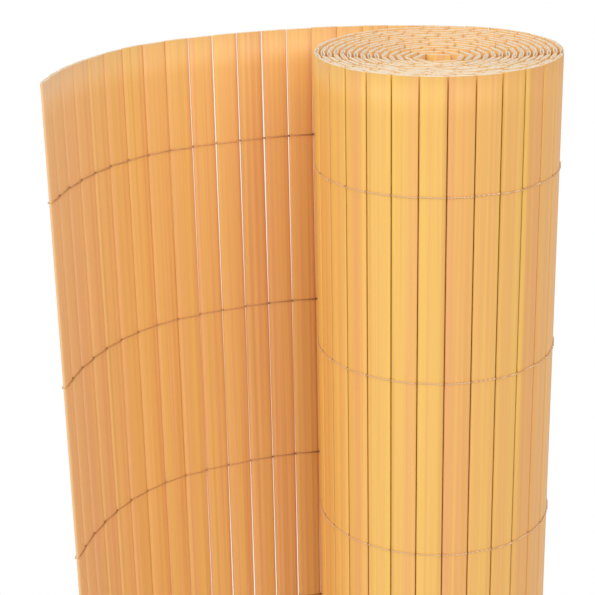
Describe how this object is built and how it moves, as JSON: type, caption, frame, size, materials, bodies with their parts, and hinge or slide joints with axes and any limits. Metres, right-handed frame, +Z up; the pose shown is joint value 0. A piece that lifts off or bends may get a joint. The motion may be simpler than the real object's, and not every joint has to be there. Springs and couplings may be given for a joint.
{
  "type": "pvc screening fence",
  "caption": "Screening fence of hollow upright PVC slats tied side by side by rows of thread, rolled up and standing on end, with its free end unrolled.",
  "frame": {"origin": "under the middle of the whole plan, at the slats' lower ends", "axes": "+Z up along the slats, +X from the free end towards the roll, +Y towards the side where the free end leaves the roll"},
  "size_m": [0.3378, 0.173, 0.9],
  "materials": {
    "slat_pvc": "extruded PVC in a bamboo colour, satin, with fine streaks along the slats",
    "thread": "twined nylon thread, semi-matt"
  },
  "bodies": {
    "root": {"inner_turns": "slat_pvc", "slat_01": "slat_pvc", "slat_02": "slat_pvc", "slat_03": "slat_pvc", "slat_04": "slat_pvc", "slat_05": "slat_pvc", "slat_06": "slat_pvc", "slat_07": "slat_pvc", "slat_08": "slat_pvc", "slat_09": "slat_pvc", "slat_10": "slat_pvc", "slat_11": "slat_pvc", "slat_12": "slat_pvc", "slat_13": "slat_pvc", "slat_14": "slat_pvc", "slat_15": "slat_pvc", "slat_16": "slat_pvc", "slat_17": "slat_pvc", "slat_18": "slat_pvc", "slat_19": "slat_pvc", "slat_20": "slat_pvc", "slat_21": "slat_pvc", "slat_22": "slat_pvc", "slat_23": "slat_pvc", "slat_24": "slat_pvc", "slat_25": "slat_pvc", "slat_26": "slat_pvc", "slat_27": "slat_pvc", "slat_28": "slat_pvc", "slat_29": "slat_pvc", "slat_30": "slat_pvc", "slat_31": "slat_pvc", "slat_32": "slat_pvc", "slat_33": "slat_pvc", "slat_34": "slat_pvc", "slat_35": "slat_pvc", "slat_36": "slat_pvc", "slat_37": "slat_pvc", "slat_38": "slat_pvc", "slat_39": "slat_pvc", "slat_40": "slat_pvc", "slat_41": "slat_pvc", "slat_42": "slat_pvc", "slat_43": "slat_pvc", "slat_44": "slat_pvc", "slat_45": "slat_pvc", "slat_46": "slat_pvc", "slat_47": "slat_pvc", "slat_48": "slat_pvc", "thread_row_1": "thread", "thread_row_2": "thread", "thread_row_3": "thread", "thread_row_4": "thread", "thread_row_5": "thread", "thread_row_6": "thread", "thread_row_7": "thread"}
  },
  "joints": []
}
